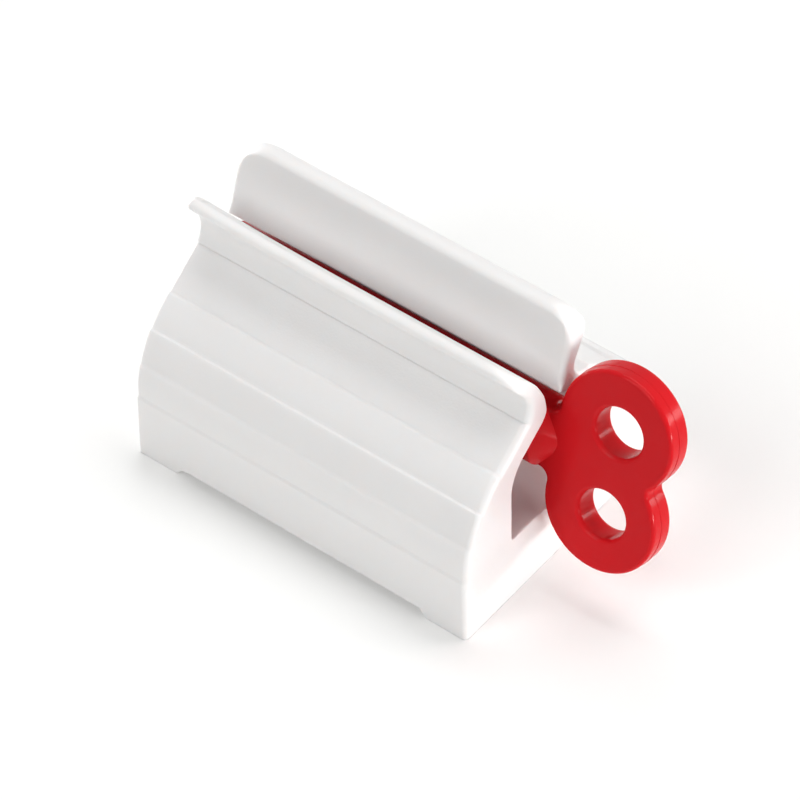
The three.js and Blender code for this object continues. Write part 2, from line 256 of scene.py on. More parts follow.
def make_draw_out():
    tree = bpy.data.node_groups.new("draw_out", "GeometryNodeTree")
    tree.is_modifier = True
    for name, kind in INPUTS.items():
        tree.interface.new_socket(name, in_out="INPUT", socket_type=f"NodeSocket{kind}")
    tree.interface.new_socket("Mesh", in_out="OUTPUT", socket_type="NodeSocketGeometry")
    n = GeometryTree(tree)
    plus, minus, times = (partial(n.math, kind) for kind in ("ADD", "SUBTRACT", "MULTIPLY"))
    given = n.add("NodeGroupInput")
    outline = given["Outline"]
    stations = n.add("GeometryNodeObjectInfo", {0: given["Stations"]})["Geometry"]

    points = n.count(outline)
    row = plus(points, 1.0)
    grid = n.add("GeometryNodeMeshGrid", {"Vertices X": n.count(stations), "Vertices Y": row})["Mesh"]
    index = n.add("GeometryNodeInputIndex")[0]
    station = n.math("FLOOR", n.math("DIVIDE", plus(index, 0.5), row))
    place = n.math("MODULO", minus(index, times(station, row)), points)

    position = n.add("GeometryNodeInputPosition")[0]
    here = n.parts(n.sample(outline, "FLOAT_VECTOR", position, place))
    into = n.parts(n.sample(outline, "FLOAT_VECTOR", n.attribute("inward", "FLOAT_VECTOR"), place))
    radius = n.sample(outline, "FLOAT", n.attribute("end_radius", "FLOAT"), place)
    along, turn, dent = n.parts(n.sample(stations, "FLOAT_VECTOR", position, station))

    at_end = n.math("GREATER_THAN", along, 0.0)
    spread = minus(given["End Round"], given["Start Round"])
    share = plus(given["Start Round"], times(at_end, spread))
    rounding = times(radius, share)
    leaning = times(here[2], given["Lean"])
    reach = minus(minus(given["Half Length"], leaning), rounding)
    past = times(times(rounding, n.math("SINE", turn)), n.math("SIGN", along))
    x = plus(times(along, reach), past)
    drop = times(rounding, minus(1.0, n.math("COSINE", turn)))
    inset = plus(drop, dent)
    y = plus(here[1], times(inset, into[1]))
    z = plus(here[2], times(inset, into[2]))

    spot = n.add("ShaderNodeCombineXYZ", {0: x, 1: y, 2: z})[0]
    moved = n.add("GeometryNodeSetPosition", {"Geometry": grid, "Position": spot})[0]
    real = n.add("GeometryNodeRealizeInstances", {0: moved})[0]
    painted = n.add("GeometryNodeSetMaterial", {"Geometry": real, "Material": given["Material"]})[0]
    n.add("NodeGroupOutput", {0: painted})
    print("draw_out tree:", len(tree.nodes), "nodes")
    return tree


draw_out_tree = make_draw_out()

# %% [markdown]
# The next cell writes the outline and the stations as small meshes, sets the modifier's inputs by
# their identifiers, and reads the points of the result, because they are shaped further before the
# solid is closed.

# %% Drawing out, in use
ROUND_STEPS = 8  # stations round an end edge


def round_stations(straight, dents=None):
    """Stations from one end to the other: (along, turn, dent), along running from -1 to 1."""
    ease = [0.5 - 0.5 * math.cos(math.pi * i / (ROUND_STEPS - 1)) for i in range(ROUND_STEPS)]
    turns = [math.pi / 2 * share for share in ease]
    dents = dents or {}
    start = [(-1.0, turn, 0.0) for turn in reversed(turns)]
    middle = [(along, 0.0, dents.get(along, 0.0)) for along in straight]
    end = [(1.0, turn, 0.0) for turn in turns]
    return start + middle + end


def mesh_object(name, points, faces=()):
    mesh = bpy.data.meshes.new(name)
    mesh.from_pydata([tuple(p) for p in points], [], faces)
    return add_object(name, mesh)


def evaluated_mesh(obj):
    """The object's final mesh as a plain mesh of its own."""
    bpy.context.view_layer.update()
    graph = bpy.context.evaluated_depsgraph_get()
    return bpy.data.meshes.new_from_object(obj.evaluated_get(graph))


def ways_in(points, closed=False):
    """The way into the material at each point of a clockwise outline or a stretch of one."""
    points = np.array(points, float)
    if closed:
        run = np.roll(points, -1, axis=0) - np.roll(points, 1, axis=0)
    else:
        run = np.gradient(points, axis=0)
    run /= np.linalg.norm(run, axis=1)[:, None]
    return np.column_stack([run[:, 1], -run[:, 0]])


def drawn_grid(outline, radius, stations, half_length, finish, inward=None, lean=0.0, rounds=(1.0, 1.0)):
    """Runs the tree and returns its points as an array: stations by outline points by XYZ."""
    count = len(outline)
    obj = mesh_object("outline", [(0.0, y, z) for y, z in outline])
    if inward is None:
        inward = ways_in(outline, closed=True)
    into = np.column_stack([np.zeros(count), inward]).astype(np.float32)
    attributes = obj.data.attributes
    attributes.new("inward", "FLOAT_VECTOR", "POINT").data.foreach_set("vector", into.ravel())
    radii = np.full(count, radius, np.float32)
    attributes.new("end_radius", "FLOAT", "POINT").data.foreach_set("value", radii)
    marks = mesh_object("stations", stations)
    modifier = obj.modifiers.new("draw_out", "NODES")
    modifier.node_group = draw_out_tree
    values = {"Stations": marks, "Half Length": half_length, "Lean": lean, "Material": finish}
    values["Start Round"], values["End Round"] = rounds
    for item in draw_out_tree.interface.items_tree:
        if item.name in values:
            modifier[item.identifier] = values[item.name]
    drawn = evaluated_mesh(obj)
    flat = np.zeros(len(drawn.vertices) * 3)
    drawn.vertices.foreach_get("co", flat)
    bpy.data.batch_remove((obj, marks, obj.data, marks.data, drawn))
    return flat.reshape(len(stations), count + 1, 3)[:, :-1]


# %% [markdown]
# ## Closing a drawn piece
#
# A grid of points becomes a closed solid: its last column joins its first, and each end gets a cap.
# One big polygon could not follow a corner that is bent later, so the caps come from a Delaunay
# triangulation with extra points inside. Holes in a piece are simply further grids.

# %% Sides and caps
CAP_GAP = 0.45  # from a cap's rim to its inner points, as a share of their pitch
MERGE_DISTANCE = 1e-5


def in_solid(points, loops):
    """Which points lie inside the outer loop but in no hole: a line out crosses an odd count."""
    inside = np.zeros(len(points), bool)
    for loop in loops:
        for (ax, ay), (bx, by) in zip(loop, np.roll(loop, -1, axis=0)):
            crosses = (ay > points[:, 1]) != (by > points[:, 1])
            if crosses.any():
                inside ^= crosses & (points[:, 0] < ax + (points[:, 1] - ay) / (by - ay) * (bx - ax))
    return inside


def cap_points(loops, pitch):
    """Points of a square lattice that lie in a cap, clear of its rim."""
    low, high = loops[0].min(0), loops[0].max(0)
    steps = [np.arange(low[i] + pitch / 2, high[i], pitch) for i in (0, 1)]
    lattice = np.array(np.meshgrid(*steps)).reshape(2, -1).T
    lattice = lattice[in_solid(lattice, loops)]
    for loop in loops:
        apart = np.linalg.norm(lattice[:, None] - loop[None], axis=2).min(axis=1)
        lattice = lattice[apart > pitch * CAP_GAP]
    return lattice


def cap_triangles(loops, inside):
    """Triangles between closed loops of points, with points inside to follow."""
    edges, start = [], 0
    for loop in loops:
        ring = range(start, start + len(loop))
        edges += zip(ring, [*ring[1:], start])
        start += len(loop)
    flat = np.vstack([*loops, inside])
    found = delaunay_2d_cdt([Vector(p) for p in flat], edges, [], 1, 1e-6)
    origin = [ids[0] for ids in found[3]]
    triangles = [[origin[i] for i in face] for face in found[2]]
    middles = flat[np.array(triangles)].mean(axis=1)
    return [t for t, keep in zip(triangles, in_solid(middles, loops)) if keep]


def closed_solid(grids, pitch):
    """Points and faces of a solid from an outer grid and those of its holes, capped at both ends."""
    points, faces, numbers = [], [], []
    for grid in grids:
        rows, count = grid.shape[:2]
        number = np.arange(rows * count).reshape(rows, count) + len(points)
        beside = np.roll(number, -1, axis=1)
        quads = np.stack([number[:-1], beside[:-1], beside[1:], number[1:]], axis=2)
        faces += quads.reshape(-1, 4).tolist()
        points += [tuple(p) for p in grid.reshape(-1, 3)]
        numbers.append(number)
    for end in (0, -1):
        rim = np.vstack([grid[end] for grid in grids])
        slant = np.column_stack([rim[:, 1:], np.ones(len(rim))])
        plane = np.linalg.lstsq(slant, rim[:, 0], rcond=None)[0]
        loops = [grid[end][:, 1:] for grid in grids]
        inside = cap_points(loops, pitch)
        used = [i for number in numbers for i in number[end].tolist()]
        used += range(len(points), len(points) + len(inside))
        points += [(plane @ (y, z, 1.0), y, z) for y, z in inside]
        faces += [[used[i] for i in t] for t in cap_triangles(loops, inside)]
    return np.array(points), faces


def solid_object(name, points, faces):
    """A closed mesh object from points in millimetres, with its faces pointing out."""
    obj = mesh_object(name, points, faces)
    bm = bmesh.new()
    bm.from_mesh(obj.data)
    bmesh.ops.remove_doubles(bm, verts=bm.verts, dist=MERGE_DISTANCE)
    bmesh.ops.recalc_face_normals(bm, faces=bm.faces)
    bm.to_mesh(obj.data)
    loose = sum(not edge.is_manifold for edge in bm.edges)
    print(f"{name}: {len(bm.verts)} points, {bm.calc_volume(signed=True):.1f} mm3, {loose} open edges")
    bm.free()
    return obj


# %% [markdown]
# ## The stand's section
#
# The stand is one section drawn out along its length. The front rises straight, leans in over a
# shoulder with four fine ledges, and runs up a slope to a crease, where a lip curls forward. Behind
# the slot a plate leans back. Under both is the chamber, whose slopes guide the tube's tail.
#
# It is worked out from a few sizes, not drawn by eye, so that slot, roller and saddles fit each
# other. First come the places that its stretches share, as (width from the middle, height).

# %% Places in the section
SHOULDER_RADIUS = 17.6
SLOPE_ANGLE = 36.0
SHOULDER_TURN = 90.0 - SLOPE_ANGLE
LEVEL_STEP = 0.25  # from the shoulder in to the slope's foot
SLOT_WIDTH = 2.5
LIP_THICKNESS = 3.4
NECK_HEIGHT = 31.8
NECK_RADIUS = 4.5
NECK_START = SLOPE_ANGLE + 20.0  # the crease is a bend of 20 degrees
ARCH_WALL = 3.435  # under the slopes, over the chamber
PLATE_SILL = 0.6
ROLLER_RADIUS = 4.85
SLOT_CLEARANCE = 1.5
CHAMBER_UNDER_ROLLER = 6.25

NECK_WIDTH = SLOT_WIDTH + LIP_THICKNESS
CREASE = (
    NECK_WIDTH + NECK_RADIUS * (1 - sin(NECK_START)),
    NECK_HEIGHT - NECK_RADIUS * cos(NECK_START),
)
SLOPE_FOOT_WIDTH = HALF_DEPTH - SHOULDER_RADIUS * (1 - cos(SHOULDER_TURN)) - LEVEL_STEP
SLOPE_FOOT = CREASE[1] - (SLOPE_FOOT_WIDTH - CREASE[0]) * tan(SLOPE_ANGLE)
SHOULDER_CENTRE = (HALF_DEPTH - SHOULDER_RADIUS, SLOPE_FOOT - SHOULDER_RADIUS * sin(SHOULDER_TURN))


def inner_slope(width):
    """The slope's inner side, the arch over the chamber, lies one wall under its outer side."""
    rise = (CREASE[0] - width) * tan(SLOPE_ANGLE)
    return (width, CREASE[1] + rise - ARCH_WALL / cos(SLOPE_ANGLE))


SLOT_LOWER_EDGE = inner_slope(SLOT_WIDTH)
SILL = inner_slope(PLATE_SILL)
AXIS_HEIGHT = SLOT_LOWER_EDGE[1] - SLOT_CLEARANCE - ROLLER_RADIUS
CHAMBER_FLOOR = AXIS_HEIGHT - ROLLER_RADIUS - CHAMBER_UNDER_ROLLER
print(f"roller's axis at {AXIS_HEIGHT:.3f} mm, chamber's floor at {CHAMBER_FLOOR:.3f} mm")

# %% [markdown]
# Every stretch is made of arcs, straight lines and rounded corners, so these get a helper each.

# %% Arcs, lines and corners


def arc(centre, radius, start, end, step):
    """Points along an arc, at most `step` degrees apart."""
    count = max(3, math.ceil(abs(end - start) / step))
    return [polar(centre, radius, start + (end - start) * i / count) for i in range(count + 1)]


def line(a, b, step):
    """Points along a straight stretch, with both ends."""
    a, b = np.array(a, float), np.array(b, float)
    count = max(1, math.ceil(np.linalg.norm(b - a) / step))
    return [tuple(a + (b - a) * i / count) for i in range(count + 1)]


def fillet(before, corner, after, radius, steps=4):
    """Points round a corner between two straight stretches."""
    before, corner, after = (np.array(p, float) for p in (before, corner, after))
    u = (before - corner) / np.linalg.norm(before - corner)
    v = (after - corner) / np.linalg.norm(after - corner)
    half = math.acos(np.clip(u @ v, -1, 1)) / 2
    cut = radius / math.tan(half)
    middle = corner + (u + v) / np.linalg.norm(u + v) * radius / math.sin(half)
    a, b = corner + u * cut - middle, corner + v * cut - middle
    turn = math.acos(np.clip(a @ b / radius**2, -1, 1))
    points = []
    for i in range(steps + 1):
        s = i / steps
        way = (math.sin((1 - s) * turn) * a + math.sin(s * turn) * b) / math.sin(turn)
        points.append(tuple(middle + way))
    return points


def cross_tangent(first, first_radius, second, second_radius):
    """Where a straight line leaves one circle and meets another that lies on its other side."""
    first, second = np.array(first), np.array(second)
    apart = second - first
    length = np.linalg.norm(apart)
    swing = math.acos((first_radius + second_radius) / length)
    c, s = math.cos(swing), math.sin(swing)
    way = np.array([[c, -s], [s, c]]) @ (apart / length)
    return tuple(first + way * first_radius), tuple(second - way * second_radius)


def smooth_step(low, high, x):
    """0 at one value, 1 at another, and a soft S between them."""
    share = np.clip((np.asarray(x, float) - low) / (high - low), 0, 1)
    return share * share * (3 - 2 * share)


def blend(start, end, share):
    return start + (end - start) * share


def stretch(points, radius, into=None):
    """A stretch of the section: its points, the radius of the end edge, and the ways in."""
    into = ways_in(points) if into is None else into
    return np.array(points), np.broadcast_to(radius, len(points)), into


# %% [markdown]
# ### The terraced face
#
# Four fine ledges cross the shoulder, which is a large circle, and catch the light as thin lines.
# Bump could fake them, but they also show in the outline, so they are in the points: at each ledge
# the face sinks in by a soft step and then comes back out until the next one. The ways in follow
# the circle, not the ledges, so that the rounding at the ends runs smoothly past them.

# %% The terraced face
TERRACES = 3
LEDGES = (0.24, 0.24, 0.27, 0.3)  # how far each ledge goes into the face, from the lowest up
LEDGE_SPANS = (0.8, 0.8, 0.42, 0.7)  # how softly each one comes in, along the face
LEDGE_MARKS = 9  # points across a ledge
CREASE_MARKS = (0.2, 0.3)  # points kept close to the crease, which stays crisp
END_EDGE = 0.75  # rounded end edges of the outer faces
SLOPE_EDGE = 1.05  # of the slope and the lip's front


def terraced_face():
    """The outer face as (width, height) from the floor to the crease, with outward angles."""
    upright = SHOULDER_CENTRE[1]
    turn_length = SHOULDER_RADIUS * math.radians(SHOULDER_TURN)
    slope_start = upright + turn_length
    slope_end = polar(SHOULDER_CENTRE, SHOULDER_RADIUS, SHOULDER_TURN)
    crease_sink = (slope_end[0] - SLOPE_FOOT_WIDTH) * sin(SLOPE_ANGLE)
    slope_length = (slope_end[0] - crease_sink * cos(SHOULDER_TURN) - CREASE[0]) / cos(SLOPE_ANGLE)
    kept = [0.0] * TERRACES + [crease_sink / LEDGES[-1]]
    runs = [turn_length / TERRACES] * TERRACES + [slope_length]
    ledges = [upright + turn_length * i / TERRACES for i in range(TERRACES + 1)]
    marks = {*np.linspace(0, upright, 11), *np.linspace(upright, slope_start, 34)}
    marks |= {*np.linspace(slope_start, slope_start + slope_length, 16)}
    marks |= {slope_start + slope_length - back for back in CREASE_MARKS}
    for ledge, span in zip(ledges, LEDGE_SPANS):
        marks |= {*np.linspace(ledge - span / 2, ledge + span / 2, LEDGE_MARKS)}
    points, angles = [], []
    for mark in sorted(marks):
        angle = min(max(math.degrees((mark - upright) / SHOULDER_RADIUS), 0.0), SHOULDER_TURN)
        sink = 0.0
        for ledge, depth, span, keep, run in zip(ledges, LEDGES, LEDGE_SPANS, kept, runs):
            stays = 1 - (1 - keep) * np.clip((mark - ledge) / run, 0, 1)
            sink += depth * float(smooth_step(ledge - span / 2, ledge + span / 2, mark)) * stays
        width, height = polar(SHOULDER_CENTRE, SHOULDER_RADIUS - sink, angle)
        past = max(mark - slope_start, 0.0)
        width -= past * cos(SLOPE_ANGLE)
        height += past * sin(SLOPE_ANGLE) + min(mark - upright, 0.0)
        points.append((width, height))
        angles.append(angle)
    return np.array(points), angles


face, face_angles = terraced_face()
face_out = np.array([(cos(a), sin(a)) for a in face_angles])
on_slope = smooth_step(SLOPE_FOOT - 6, SLOPE_FOOT, face[:, 1])
face_edges = blend(END_EDGE, SLOPE_EDGE, on_slope)
front_stretch = stretch((face * (-1, 1))[:-1], face_edges[:-1], face_out[:-1] * (1, -1))
print("terraced face:", len(face), "points, crease at", np.round(face[-1], 3))

# %% [markdown]
# ### The curled lip
#
# The lip wipes the tube flat. From the crease it goes up a hollow neck, flares forward to a round
# nose, and comes back down a long bend to a bulge over the chamber. Circles that touch each other
# give a curve with no kinks. A shallow groove along the crease makes the fine dark line there.

# %% The curled lip
FLARE_RADIUS = 3.8
LIP_TOP = NECK_HEIGHT + 5.3
LIP_BEND_RADIUS = 11.0
LIP_BEND_HEIGHT = NECK_HEIGHT - 3.5
LIP_BULGE_RADIUS = 3.1  # under the lip's rear side, into the arch
NOSE_RADIUS = 0.9
NOSE_EDGE = 0.7
LIP_REAR_EDGE = 0.45  # on the slot's side
INNER_EDGE = 0.2  # of the chamber and the slot's lower edges
GROOVE = 0.12  # depth of the fine line along the crease


def bulge_centre(bend):
    """Centre of the bulge under the lip: a circle inside the bend's circle that rests on the arch."""
    along = np.array([cos(SLOPE_ANGLE), -sin(SLOPE_ANGLE)])
    start = np.array([SLOT_WIDTH, SLOT_LOWER_EDGE[1] + LIP_BULGE_RADIUS / cos(SLOPE_ANGLE)])
    apart = start - bend
    run = apart @ along
    reach = LIP_BEND_RADIUS - LIP_BULGE_RADIUS
    return start + along * (-run - math.sqrt(run**2 - apart @ apart + reach**2))


def lip_curves():
    """The lip as (width, height): its front, its nose, and its rear side round the bulge to the arch."""
    neck = (NECK_WIDTH + NECK_RADIUS, NECK_HEIGHT)
    flare = (NECK_WIDTH + FLARE_RADIUS, NECK_HEIGHT)
    bend = (SLOT_WIDTH + LIP_BEND_RADIUS, LIP_BEND_HEIGHT)
    rise = LIP_TOP - NOSE_RADIUS - LIP_BEND_HEIGHT
    reach = LIP_BEND_RADIUS - NOSE_RADIUS
    nose = (bend[0] - math.sqrt(reach**2 - rise**2), bend[1] + rise)
    leaves, meets = cross_tangent(flare, FLARE_RADIUS, nose, NOSE_RADIUS)
    top = bearing(bend, nose)
    front = arc(neck, NECK_RADIUS, 270 - NECK_START, 180, 3.0)
    front += arc(flare, FLARE_RADIUS, 180, bearing(flare, leaves), 4.0)[1:]
    front += line(leaves, meets, 0.4)[1:]
    over = arc(nose, NOSE_RADIUS, bearing(nose, meets), top, 9.0)
    bulge = bulge_centre(bend)
    touch = bearing(bend, bulge)
    rear = arc(bend, LIP_BEND_RADIUS, top, touch, 2.0)
    rear += arc(bulge, LIP_BULGE_RADIUS, touch, 270 - SLOPE_ANGLE, 5.0)[1:]
    return np.array(front), np.array(over), np.array(rear)


def make_lip_stretch():
    points = np.vstack([lip_front, lip_over[1:], lip_rear[1:]]) * (-1, 1)
    into = ways_in(points)
    points[0] += into[0] * GROOVE
    nearing = smooth_step(NECK_HEIGHT + 2, LIP_TOP - 1, lip_front[:, 1])
    low = SLOT_LOWER_EDGE[1]
    leaving = smooth_step(low + 2, low + 0.5, lip_rear[1:, 1])
    edges = [
        blend(SLOPE_EDGE, NOSE_EDGE, nearing),
        np.linspace(NOSE_EDGE, LIP_REAR_EDGE, len(lip_over) - 1),
        blend(LIP_REAR_EDGE, INNER_EDGE, leaving),
    ]
    return stretch(points, np.concatenate(edges), into)


lip_front, lip_over, lip_rear = lip_curves()
lip_stretch = make_lip_stretch()
print("lip:", len(lip_stretch[0]), "points, up to", round(LIP_TOP, 2), "mm")

# %% [markdown]
# ### The back plate
#
# The plate leans back, so that a tube's body can rest against it. Its front is flat, its top is
# rounded over from a small radius in front to a larger one behind, and its rear sweeps down in one
# hollow to the brow, where the rear slope starts.

# %% The back plate
PLATE_NECK = 2.8  # level thickness at the neck
PLATE_LEAN = 17.5
PLATE_EDGE = 1.1  # roundings of its top, in front and behind
PLATE_HEAD_RADIUS = 2.0
PLATE_TOP = 0.2  # level top between them
PLATE_FRONT_EDGE = 1.0  # end edges of its front and of its head
PLATE_HEAD_EDGE = 0.85
TOE_FILLET = 0.35  # rounding of its lower edge
BROW_FILLET = 0.5
BROW_EDGE = 0.45


def plate_curves():
    """The plate as (Y, Z): its foot, over its top, and down behind it to the crease."""
    up = np.array([sin(PLATE_LEAN), cos(PLATE_LEAN)])
    back = np.array([up[1], -up[0]])
    foot = np.array([0.0, SILL[1]])
    rise = (STAND_HEIGHT - foot[1] - PLATE_EDGE * (1 + back[1])) / up[1]
    edge = tuple(foot + up * rise + back * PLATE_EDGE)
    head = (edge[0] + PLATE_TOP, STAND_HEIGHT - PLATE_HEAD_RADIUS)
    neck_width = (NECK_HEIGHT - foot[1]) * tan(PLATE_LEAN) + PLATE_NECK
    reach = CREASE[0] - neck_width
    radius = (reach**2 + (NECK_HEIGHT - CREASE[1]) ** 2) / (2 * reach)
    hollow = (neck_width + radius, NECK_HEIGHT)
    leaves, meets = cross_tangent(hollow, radius, head, PLATE_HEAD_RADIUS)
    over = arc(edge, PLATE_EDGE, 180 - PLATE_LEAN, 90, 8.0)
    over += arc(head, PLATE_HEAD_RADIUS, 90, bearing(head, meets), 7.0)
    behind = [meets] + line(meets, leaves, 0.5)[1:]
    behind += arc(hollow, radius, bearing(hollow, leaves), 360 + bearing(hollow, CREASE), 5.0)[1:]
    return tuple(foot), over, behind


def make_plate_stretch():
    front = np.array(line(plate_toe[-1], plate_over[0], 0.5)[1:])
    brow = fillet(plate_behind[-3], CREASE, face[-3], BROW_FILLET, 6)
    points = np.vstack([front, plate_over[1:], plate_behind[1:-3], brow])
    low = plate_foot[1]
    rising = front[:, 1]
    on_front = blend(INNER_EDGE, PLATE_FRONT_EDGE, smooth_step(low + 0.3, low + 2.0, rising))
    nearing = smooth_step(STAND_HEIGHT - 4, STAND_HEIGHT - 1.5, rising)
    on_front += (PLATE_HEAD_EDGE - PLATE_FRONT_EDGE) * nearing
    edges = [
        on_front,
        np.full(len(plate_over) - 1, PLATE_HEAD_EDGE),
        np.linspace(PLATE_HEAD_EDGE, BROW_EDGE, len(plate_behind) - 4),
        np.full(len(brow), BROW_EDGE),
    ]
    return stretch(points, np.concatenate(edges))


plate_foot, plate_over, plate_behind = plate_curves()
plate_toe = fillet(SILL, plate_foot, plate_over[0], TOE_FILLET, 6)
plate_stretch = make_plate_stretch()
print("plate:", len(plate_stretch[0]), "points, leaning back", PLATE_LEAN, "degrees")

# %% [markdown]
# ### The chamber, and the whole section
#
# The chamber is an arch on a flat floor, open to the slot above. Its corners are rounded, because
# a wound tube must not catch in them. With the rear face, which mirrors the front, and the bottom,
# the stretches join to one closed outline, clockwise from the front's foot.

# %% The whole section
CHAMBER_HALF = 10.1
CHAMBER_CORNER = 6.75
CHAMBER_FILLET = 0.6  # between its sides and its floor
SILL_FILLET = 0.25


def make_chamber_stretch():
    corner = inner_slope(CHAMBER_HALF)
    reach = CHAMBER_CORNER * tan(SHOULDER_TURN / 2)
    middle = (corner[0] - CHAMBER_CORNER, corner[1] - reach)
    arch = arc(middle, CHAMBER_CORNER, SHOULDER_TURN, 0, 5.0)
    foot = fillet(arch[-1], (CHAMBER_HALF, CHAMBER_FLOOR), (0.0, CHAMBER_FLOOR), CHAMBER_FILLET, 5)
    side = arch + line(arch[-1], foot[0], 1.5)[1:] + foot[1:]
    front = np.array(line(lip_rear[-1], arch[0], 1.0)[1:-1] + side) * (-1, 1)
    rear = np.array(line(SILL, arch[0], 1.0)[1:-1] + side)[::-1]
    floor = line(front[-1], rear[0], 1.5)[1:-1]
    sill = fillet(rear[-1], SILL, (0.0, SILL[1]), SILL_FILLET)
    points = np.vstack([front, floor, rear, sill, plate_toe])
    return stretch(points, INNER_EDGE)


rear = face[:-2][::-1]
rear_edges = blend(BROW_EDGE, END_EDGE, smooth_step(0.5, 4.0, CREASE[1] - rear[:, 1]))
bottom = line((HALF_DEPTH, 0), (-HALF_DEPTH, 0), 2.0)[1:-1]
stretches = (
    front_stretch,
    lip_stretch,
    make_chamber_stretch(),
    plate_stretch,
    stretch(rear, rear_edges, face_out[:-2][::-1] * (-1, -1)),
    stretch(bottom, 0.0, np.tile((0.0, 1.0), (len(bottom), 1))),
)
section, section_radius, section_in = (np.concatenate(column) for column in zip(*stretches))
print("section:", len(section), "points")

# %% [markdown]
# ## The stand's corners
#
# The lip and the plate have large rounded corners, seen from the front. A boolean cut would leave a
# new sharp edge there. Instead the square corner of the finished mesh is pressed into a quarter
# circle, so the rounded edge follows it round, as on the real moulding.
#
# The press is the smooth map from a square to a disc, which has no kink along the diagonal. As a
# point moves down it also moves across, to stay on the lip's bend or the plate's lean.

# %% Pressing corners


def press_corner(points, side, end, top, radius, sides_at):
    """Presses a square upper corner round. `sides_at` gives the Y of both sides at a height."""
    x, y, z = points.T
    a, b = end * x - (end_at(z) - radius), z - (top - radius)
    in_corner = side & (a > 0) & (b > 0)
    shrink_a, shrink_b = (np.sqrt(1 - np.clip(c / radius, 0, 1) ** 2 / 2) for c in (b, a))
    new_z = np.where(in_corner, top - radius + b * shrink_b, z)
    new_x = np.where(in_corner, end * (end_at(new_z) - radius + a * shrink_a), x)
    (front, rear), (new_front, new_rear) = sides_at(z), sides_at(new_z)
    across = new_front + (y - front) * (new_rear - new_front) / (rear - front)
    return np.column_stack([new_x, np.where(in_corner, across, y), new_z])


def lip_sides(heights):
    """Y of two lines along the middle of the lip, one apart: it keeps its thickness in the corner."""
    lip = np.vstack([lip_front, lip_over, lip_rear])
    top = lip[:, 1].argmax()
    rising, falling = lip[: top + 1], lip[top:][::-1]
    ahead = np.interp(heights, rising[:, 1], rising[:, 0])
    middle = -(ahead + np.interp(heights, falling[:, 1], falling[:, 0])) / 2
    return middle - 0.5, middle + 0.5


def plate_sides(heights):
    """Y of the plate's front and rear, as if its top edges were square."""
    widest = np.array(plate_over)[:, 0].argmax()
    below_head = np.array(plate_over[widest:] + plate_behind)
    below_head = below_head[below_head[:, 1] > NECK_HEIGHT][::-1]
    rear = np.interp(heights, below_head[:, 1], below_head[:, 0])
    return (heights - SILL[1]) * tan(PLATE_LEAN), rear


print("plate's front and rear at the top, in Y:", np.round(plate_sides(STAND_HEIGHT), 2))

# %% [markdown]
# ## The stand's body
#
# The section is drawn out along X, with stations crowded where a foot or a corner will be shaped.
# Two more changes are made on the points, because that keeps the mesh in one piece. Mouldings warp
# a little as they cool, and here the slot closes towards its far end: the lip rises and the plate's
# foot hangs down. And what lies between the feet is lifted, with a short straight slope at each
# foot, so that the stand touches the table only at its two ends.

# %% Stand: draw the section out
LIP_CORNER = 5.5  # at the key's end
LIP_FAR_CORNER = 0.7
PLATE_CORNER = 4.5
FAR_ROUND = 0.45  # share of the edge rounding at the far end
WARP_START = -3.0  # the warp grows from here with the square of the way
WARP_LENGTH = 24.0
LIP_WARP = 0.7
PLATE_SAG = 0.4
FOOT_HEIGHT = 1.35
FOOT_INNER = 20.95  # where a foot ends and its slope starts
FOOT_SLOPE = 1.1
RELIEF_FADE = 4.0  # height where the lift has faded out
CAP_PITCH = 0.7


def stand_stations():
    plain = np.linspace(-0.7, 0.7, 15)
    inset = np.array([0.12, 0.0, -0.12])
    foot = FOOT_INNER - np.concatenate([FOOT_SLOPE + inset, inset])
    slopes = foot / (HALF_LENGTH - END_EDGE)
    corners = np.linspace(0.8, 0.985, 10)
    return round_stations(sorted([*plain, *slopes, *-slopes, *corners, *-corners]))


def warp_slot(points, on_lip):
    """Lets the slot close a little towards its far end."""
    x, y, z = points.T
    lip = LIP_WARP * smooth_step(CREASE[1], NECK_HEIGHT + 3, z) * on_lip
    near_foot = ~on_lip & (y < SLOT_WIDTH) & (z > SILL[1] - 2)
    foot = PLATE_SAG * smooth_step(SILL[1] + 2.5, SILL[1] + 0.5, z) * near_foot
    way = np.clip((WARP_START - x) / WARP_LENGTH, 0, None)
    return np.column_stack([x, y, z + (lip - foot) * way**2])


def lift_relief(points):
    """Lifts what lies between the feet off the floor."""
    x, y, z = points.T
    lift = FOOT_HEIGHT * np.clip((FOOT_INNER - np.abs(x)) / FOOT_SLOPE, 0, 1)
    return np.column_stack([x, y, z + lift * np.clip(1 - z / RELIEF_FADE, 0, 1)])


def stand_body():
    grid = drawn_grid(
        section, section_radius, stand_stations(), HALF_LENGTH, white,
        inward=section_in, lean=tan(END_DRAFT), rounds=(FAR_ROUND, 1.0),
    )
    points, faces = closed_solid([grid], CAP_PITCH)
    on_lip = points[:, 1] < -SLOT_WIDTH / 2
    for end, radius in ((1, LIP_CORNER), (-1, LIP_FAR_CORNER)):
        points = press_corner(points, on_lip, end, LIP_TOP, radius, lip_sides)
    for end in (1, -1):
        points = press_corner(points, ~on_lip, end, STAND_HEIGHT, PLATE_CORNER, plate_sides)
    points = warp_slot(points, on_lip)
    return solid_object("stand_moulding", lift_relief(points), faces)


stand = stand_body()

# %% [markdown]
# ## Joining and cutting
#
# Where pieces meet in plain straight edges, an exact boolean is the quickest way to join a drawn
# outline to a body or to cut it away.

# %% Drawn solids and booleans
PLAIN_PITCH = 2.0  # of the points in the caps of small pieces
SLIVER = 2e-4  # what a boolean leaves closer than this is merged


def drawn_solid(name, outline, radius, half, finish, centre=0.0, stations=None, rounds=(1.0, 1.0)):
    """A closed outline drawn out along X about a centre."""
    stations = stations or round_stations([0.0])
    grid = drawn_grid(outline, radius, stations, half, finish, rounds=rounds)
    points, faces = closed_solid([grid], PLAIN_PITCH)
    return solid_object(name, points + (centre, 0, 0), faces)


